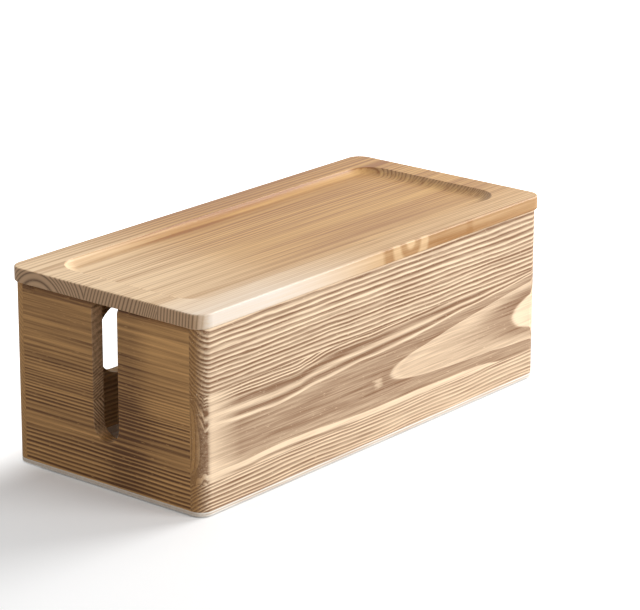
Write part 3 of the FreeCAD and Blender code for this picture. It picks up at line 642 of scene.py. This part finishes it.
def planed_lid_middle(colours, sizes):
    """Planed lid stave with steep rings: fine straight lines along its face."""
    material, tree, place, parts = start("Planed softwood lid middle")
    wave = noise(tree, place, LID_WAVE, 1.0, 9.0)
    across = slanted(tree, parts["Z"], parts["Y"], 0.35, LID_TOP, wave, LID_SWING)
    ends = rings(tree, across, LID_MIDDLE_RINGS, PLANED_RING)
    tone = lid_streaks(tree, place, ends, 0.4)
    return finish_lid(material, tree, place, tone, *lid_colours(tree, place, colours), ends, 0.0, colours,
                      sizes)


def planed_lid_front(colours, sizes):
    """Planed lid stave with upright rings and nearly white sapwood along its outer edge."""
    material, tree, place, (x, y, z) = start("Planed softwood lid front")
    wave = noise(tree, place, LID_WAVE, 1.0, 10.0)
    across = slanted(tree, z, y, 0.1, LID_TOP, wave, LID_SWING)
    across = add(tree, "Math", [across, follow(tree, x, LID_FRONT_DRIFT)], operation="ADD")[0]
    ends = even_rings(tree, across, 2.8, PLANED_RING)
    tone = lid_streaks(tree, place, ends, 0.35)
    tone = add(tree, "Math", [tone, 0.12], operation="ADD")[0]

    away = distance(tree, place, DIP_CENTRE, DIP_SIZES)
    away = add(tree, "Math", [away, 1 / SHELL_SPAN], operation="MULTIPLY")[0]
    shells = add(tree, "ValToRGB", [away], stops=SHELL_TONES)[0]
    # The shells show on the front edge only, and its darker wood starts right of them.
    right = add(tree, "MapRange", {"Value": x, "From Min": 52.0, "From Max": 64.0})[0]
    shells = add(tree, "Mix", {0: right, 2: shells, 3: follow(tree, x, EDGE_TONES)}, data_type="FLOAT")[0]
    skin = add(tree, "MapRange", {"Value": y, "From Min": -89.5, "From Max": -91.5})[0]
    tone = add(tree, "Mix", {0: skin, 2: tone, 3: shells}, data_type="FLOAT")[0]

    white = add(tree, "MapRange", {"Value": x, "From Min": SAPWOOD_START, "From Max": SAPWOOD_FULL})[0]
    white = add(tree, "Math", [white, follow(tree, y, SAPWOOD_ACROSS)], operation="MULTIPLY")[0]
    pale, dark = lid_colours(tree, place, colours)
    pale = add(tree, "Mix", {0: white, 6: pale, 7: colours.sapwood}, data_type="RGBA")[2]
    dark = add(tree, "Mix", {0: white, 6: dark, 7: colours.lid_pale}, data_type="RGBA")[2]
    return finish_lid(material, tree, place, tone, pale, dark, ends, 0.05, colours, sizes)


def planed_batten(colours, sizes):
    """Planed batten wood: straight rings along Y, pale and plain."""
    material, tree, place, parts = start("Planed softwood batten")
    across = add(tree, "Math", [parts["Z"], 0.35, parts["X"]], operation="MULTIPLY_ADD")[0]
    tone = add(tree, "Mix", {0: 0.35, 2: 0.6, 3: even_rings(tree, across, 2.6)}, data_type="FLOAT")[0]
    return finish_wood(material, tree, place, tone, colours.batten, colours.lid_dark, (1.3, 60, 1.3),
                       sizes.planed_relief, (0.6, 0.5), PLANED_FLECK)


# Tones of the plies, up PLY_SPAN millimetres from the floor.
PLY_SPAN = 5
PLY_TONES = [(0.0, 0.9), (0.39, 0.9), (0.41, 0.5), (0.59, 0.6), (0.61, 0.95), (1.0, 0.95)]


def birch_plywood(colours, sizes):
    """Thin birch plywood: pale faces, three plies on the sanded edge."""
    material, tree, place, parts = start("Birch plywood")
    up = add(tree, "Math", [parts["Z"], 1 / PLY_SPAN], operation="MULTIPLY")[0]
    ply = add(tree, "ValToRGB", [up], stops=PLY_TONES)[0]
    return finish_wood(material, tree, place, ply, colours.ply, colours.lid_dark, (50, 1.2, 1.2),
                       sizes.planed_relief, (0.7, 0.6), 0.1)


# The colours between the drawing's bright streaks and in the pads' grain.
DULL_METAL = (0.05, 0.05, 0.05, 1.0)
PAD_SHADE = (0.03, 0.03, 0.03, 1.0)


def bright_metal(name, base, grain):
    """Drawn metal: bright, with fine streaks along the drawing."""
    material, tree, place = start(name)[:3]
    streak = noise(tree, place, grain, 3.0, 21.0)
    roughness = add(tree, "MapRange", {"Value": streak, "To Min": 0.22, "To Max": 0.42})[0]
    clean = add(tree, "MapRange", {"Value": streak, "From Min": 0.3, "From Max": 0.7, "To Min": 0.8})[0]
    body = add(tree, "Mix", {0: clean, 6: DULL_METAL, 7: base}, data_type="RGBA")[2]
    shader = add(tree, "BsdfPrincipled", {"Base Color": body, "Metallic": 1.0, "Roughness": roughness})[0]
    add(tree, "OutputMaterial", [shader])
    return material


def silicone(colours):
    """Moulded silicone: matt dark grey with a faint moulded grain."""
    material, tree, place = start("Moulded silicone")[:3]
    grain = noise(tree, place, (0.8, 0.8, 0.8), 2.0, 25.0)
    body = add(tree, "Mix", {0: grain, 6: PAD_SHADE, 7: colours.pad}, data_type="RGBA")[2]
    bump = add(tree, "Bump", {"Strength": 0.4, "Distance": 0.00005, "Height": grain})[0]
    shader = add(tree, "BsdfPrincipled", {"Base Color": body, "Roughness": 0.62, "IOR": 1.41,
                                          "Normal": bump})[0]
    add(tree, "OutputMaterial", [shader])
    return material


def dress(nodes, material):
    """Give the CAD nodes one material."""
    for name in nodes:
        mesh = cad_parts[name].data
        mesh.materials.clear()
        mesh.materials.append(material)


def corner_fillers(name, side, materials):
    """Plugs of tinted wood filler over the sunk corner pins, flush with the rounded corners."""
    pins_low, pins_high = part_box("corner_pins")
    wall_low, wall_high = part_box("front_lower_stave")
    radius, reach, rounding = PIN_RADIUS * MM, FILLER_REACH * MM, CORNER_RADIUS * MM
    pin_x = pins_high.x - radius
    sunk = abs(pins_low.y)
    levels = {round(vertex.co.z, 5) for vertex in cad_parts["corner_pins"].data.vertices}
    # A pin's underside has no other level of its mesh less than a pin's width below it.
    heights = [low + radius for low in sorted(levels)
               if not any(0 < low - other < PIN_LEVELS * radius for other in levels)]
    lying = Matrix.Rotation(math.radians(90), 4, "X")
    shape = bmesh.new()
    for layer, height in enumerate(heights):
        for end in (-1, 1):
            middle = Vector((end * pin_x, side * (sunk + reach / 2), height))
            made = bmesh.ops.create_cone(shape, cap_ends=True, segments=FILLER_SIDES, radius1=radius,
                                         radius2=radius, depth=reach,
                                         matrix=Matrix.Translation(middle) @ lying)
            for vertex in made["verts"]:
                if abs(vertex.co.y) > sunk + reach / 2:
                    inward = abs(vertex.co.x) - (wall_high.x - rounding)
                    fall = rounding - math.sqrt(rounding ** 2 - inward ** 2)
                    vertex.co.y = side * (abs(wall_low.y) - fall)
            for face in {face for vertex in made["verts"] for face in vertex.link_faces}:
                face.material_index = min(layer, len(materials) - 1)
    bmesh.ops.recalc_face_normals(shape, faces=shape.faces)
    mesh = bpy.data.meshes.new(name)
    shape.to_mesh(mesh)
    shape.free()
    for material in materials:
        mesh.materials.append(material)
    piece = bpy.data.objects.new(name, mesh)
    bpy.context.scene.collection.objects.link(piece)
    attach(piece, "case")


class CABLEBOX_OT_front_wall(bpy.types.Operator):
    """Finish the front wall's three staves"""
    bl_idname = "cablebox.front_wall"
    bl_label = "Front wall"

    def execute(self, context):
        colours, sizes = context.scene.cable_box_colours, context.scene.cable_box_sizes
        woods = (flamed_front_lower(colours, sizes), flamed_front_middle(colours, sizes),
                 flamed_front_upper(colours, sizes))
        for stave, wood in zip(("lower", "middle", "upper"), woods):
            dress([f"front_{stave}_stave"], wood)
        corner_fillers("front_corner_fillers", -1, woods)
        return {"FINISHED"}


class CABLEBOX_OT_back_wall(bpy.types.Operator):
    """Finish the back wall's two staves"""
    bl_idname = "cablebox.back_wall"
    bl_label = "Back wall"

    def execute(self, context):
        wood = flamed_back(context.scene.cable_box_colours, context.scene.cable_box_sizes)
        dress(["back_lower_stave", "back_upper_stave"], wood)
        corner_fillers("back_corner_fillers", 1, (wood,))
        return {"FINISHED"}


class CABLEBOX_OT_end_walls(bpy.types.Operator):
    """Finish the staves of both end walls"""
    bl_idname = "cablebox.end_walls"
    bl_label = "End walls"

    def execute(self, context):
        colours, sizes = context.scene.cable_box_colours, context.scene.cable_box_sizes
        dress(["left_end_lower_stave", "right_end_lower_stave"], flamed_end_lower(colours, sizes))
        dress([f"{side}_end_{half}_stave" for side in ("left", "right") for half in ("front", "back")],
              flamed_end_upper(colours, sizes))
        return {"FINISHED"}


class CABLEBOX_OT_lid(bpy.types.Operator):
    """Finish the lid's three staves and its battens"""
    bl_idname = "cablebox.lid"
    bl_label = "Lid"

    def execute(self, context):
        colours, sizes = context.scene.cable_box_colours, context.scene.cable_box_sizes
        dress(["lid_front_stave"], planed_lid_front(colours, sizes))
        dress(["lid_middle_stave"], planed_lid_middle(colours, sizes))
        dress(["lid_back_stave"], planed_lid_back(colours, sizes))
        dress(["left_cleat", "right_cleat"], planed_batten(colours, sizes))
        return {"FINISHED"}


class CABLEBOX_OT_base(bpy.types.Operator):
    """Finish the base panel and its foot pads"""
    bl_idname = "cablebox.base"
    bl_label = "Base"

    def execute(self, context):
        colours, sizes = context.scene.cable_box_colours, context.scene.cable_box_sizes
        dress(["base_panel"], birch_plywood(colours, sizes))
        dress([f"{row}_{side}_pad" for row in ("front", "back") for side in ("left", "right")],
              silicone(colours))
        return {"FINISHED"}


class CABLEBOX_OT_fixings(bpy.types.Operator):
    """Finish the pins, brads and screws"""
    bl_idname = "cablebox.fixings"
    bl_label = "Fixings"

    def execute(self, context):
        colours = context.scene.cable_box_colours
        dress(["corner_pins", "base_brads"], bright_metal("Drawn steel", colours.steel, (0.3, 0.3, 0.3)))
        dress(["cleat_screws"], bright_metal("Yellow zinc steel", colours.brass, (0.3, 0.3, 2.0)))
        return {"FINISHED"}


class CABLEBOX_OT_stage(bpy.types.Operator):
    """Set up the floor, the studio light and the camera"""
    bl_idname = "cablebox.stage"
    bl_label = "Stage"

    def execute(self, context):
        scene = context.scene
        scene.view_settings.view_transform = "Standard"
        self.make_floor(scene)
        self.make_world(scene)
        self.make_lights(scene)
        self.make_camera(scene)
        return {"FINISHED"}

    def make_floor(self, scene):
        """A round pale floor that keeps the box's shadow."""
        mesh = bpy.data.meshes.new("studio_floor")
        shape = bmesh.new()
        bmesh.ops.create_circle(shape, cap_ends=True, segments=FLOOR_SIDES,
                                radius=scene.cable_box_sizes.floor_radius)
        shape.to_mesh(mesh)
        shape.free()
        floor = bpy.data.objects.new("studio_floor", mesh)
        scene.collection.objects.link(floor)
        material = bpy.data.materials.new("Pale studio floor")
        material.use_nodes = True
        tree = material.node_tree
        tree.nodes.clear()
        # Seen from the camera the floor is white and glows a little, so that it meets the white
        # background, and it keeps the box's shadow.
        seen = add(tree, "LightPath")["Is Camera Ray"]
        body = add(tree, "Mix", {0: seen, 6: linear("#d8d6d2"), 7: linear("#ffffff")}, data_type="RGBA")[2]
        # Behind the box the glow grows until no shadow is left.
        along = add(tree, "SeparateXYZ", [add(tree, "TexCoord")["Object"]])["Y"]
        glow = add(tree, "MapRange", {"Value": along, "From Min": FADE_START, "From Max": FADE_END,
                                      "To Min": FLOOR_GLOW, "To Max": FADED_GLOW},
                   interpolation_type="SMOOTHSTEP")[0]
        glow = add(tree, "Math", [seen, glow], operation="MULTIPLY")[0]
        shader = add(tree, "AddShader", [add(tree, "BsdfDiffuse", {"Color": body})[0],
                                         add(tree, "Emission", {"Strength": glow})[0]])[0]
        add(tree, "OutputMaterial", [shader])
        mesh.materials.append(material)

    def make_world(self, scene):
        """Plain white surroundings that light the box softly."""
        world = bpy.data.worlds.new("Studio")
        world.use_nodes = True
        tree = world.node_tree
        tree.nodes.clear()
        rays = add(tree, "LightPath")
        seen = add(tree, "Math", [rays["Is Camera Ray"], rays["Is Glossy Ray"]], operation="MAXIMUM")[0]
        strength = add(tree, "MapRange", {"Value": seen, "To Min": AMBIENT, "To Max": 1.0})[0]
        shader = add(tree, "Background", {"Color": linear("#ffffff"), "Strength": strength})[0]
        add(tree, "OutputWorld", [shader])
        scene.world = world

    def make_lights(self, scene):
        """Two wide soft lamps: the key off the right end, the fill in front."""
        for name, direction, energy in LAMPS:
            towards = Vector(direction).normalized()
            lamp = bpy.data.lights.new(name, "AREA")
            lamp.shape = "DISK"
            lamp.size = LAMP_SIZE
            lamp.energy = energy
            light = bpy.data.objects.new(name, lamp)
            light.location = towards * LAMP_DISTANCE
            light.rotation_euler = towards.to_track_quat("Z", "Y").to_euler()
            scene.collection.objects.link(light)

    def make_camera(self, scene):
        """The camera, placed and turned as it was for the photograph."""
        azimuth, elevation, roll = (math.radians(angle) for angle in
                                    (CAMERA_AZIMUTH, CAMERA_ELEVATION, CAMERA_ROLL))
        back = Vector((math.sin(azimuth) * math.cos(elevation), -math.cos(azimuth) * math.cos(elevation),
                       math.sin(elevation)))
        right = (-back).cross(Vector((0, 0, 1))).normalized()
        up = right.cross(-back)
        tilted_right = right * math.cos(roll) + up * math.sin(roll)
        tilted_up = up * math.cos(roll) - right * math.sin(roll)
        data = bpy.data.cameras.new("Camera")
        data.sensor_fit = "HORIZONTAL"
        data.sensor_width = SENSOR_WIDTH
        data.lens = FOCAL_PIXELS / PHOTO_WIDTH * SENSOR_WIDTH
        camera = bpy.data.objects.new("Camera", data)
        turn = Matrix((tilted_right, tilted_up, back)).transposed().to_4x4()
        camera.matrix_world = Matrix.Translation(CAMERA_PLACE) @ turn
        scene.collection.objects.link(camera)
        scene.camera = camera


OPERATORS = (CABLEBOX_OT_front_wall, CABLEBOX_OT_back_wall, CABLEBOX_OT_end_walls, CABLEBOX_OT_lid,
             CABLEBOX_OT_base, CABLEBOX_OT_fixings, CABLEBOX_OT_stage)


class CABLEBOX_PT_panel(bpy.types.Panel):
    """Lists the cable box's pieces and its settings"""
    bl_idname = "CABLEBOX_PT_panel"
    bl_label = "Cable Box"
    bl_space_type = "VIEW_3D"
    bl_region_type = "UI"
    bl_category = "Cable Box"

    def draw(self, context):
        for group in (context.scene.cable_box_sizes, context.scene.cable_box_colours):
            for name in group.__annotations__:
                self.layout.prop(group, name)
        for operator in OPERATORS:
            self.layout.operator(operator.bl_idname)


CLASSES = (CableBoxColours, CableBoxSizes) + OPERATORS + (CABLEBOX_PT_panel,)


def register():
    """Register the classes and hang the two groups of settings on the scene."""
    for each in CLASSES:
        bpy.utils.register_class(each)
    bpy.types.Scene.cable_box_colours = bpy.props.PointerProperty(type=CableBoxColours)
    bpy.types.Scene.cable_box_sizes = bpy.props.PointerProperty(type=CableBoxSizes)


def unregister():
    """Take away what register added."""
    del bpy.types.Scene.cable_box_sizes
    del bpy.types.Scene.cable_box_colours
    for each in reversed(CLASSES):
        bpy.utils.unregister_class(each)


def main():
    """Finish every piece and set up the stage."""
    register()
    bpy.ops.cablebox.front_wall()
    bpy.ops.cablebox.back_wall()
    bpy.ops.cablebox.end_walls()
    bpy.ops.cablebox.lid()
    bpy.ops.cablebox.base()
    bpy.ops.cablebox.fixings()
    bpy.ops.cablebox.stage()


if __name__ == "__main__":
    main()
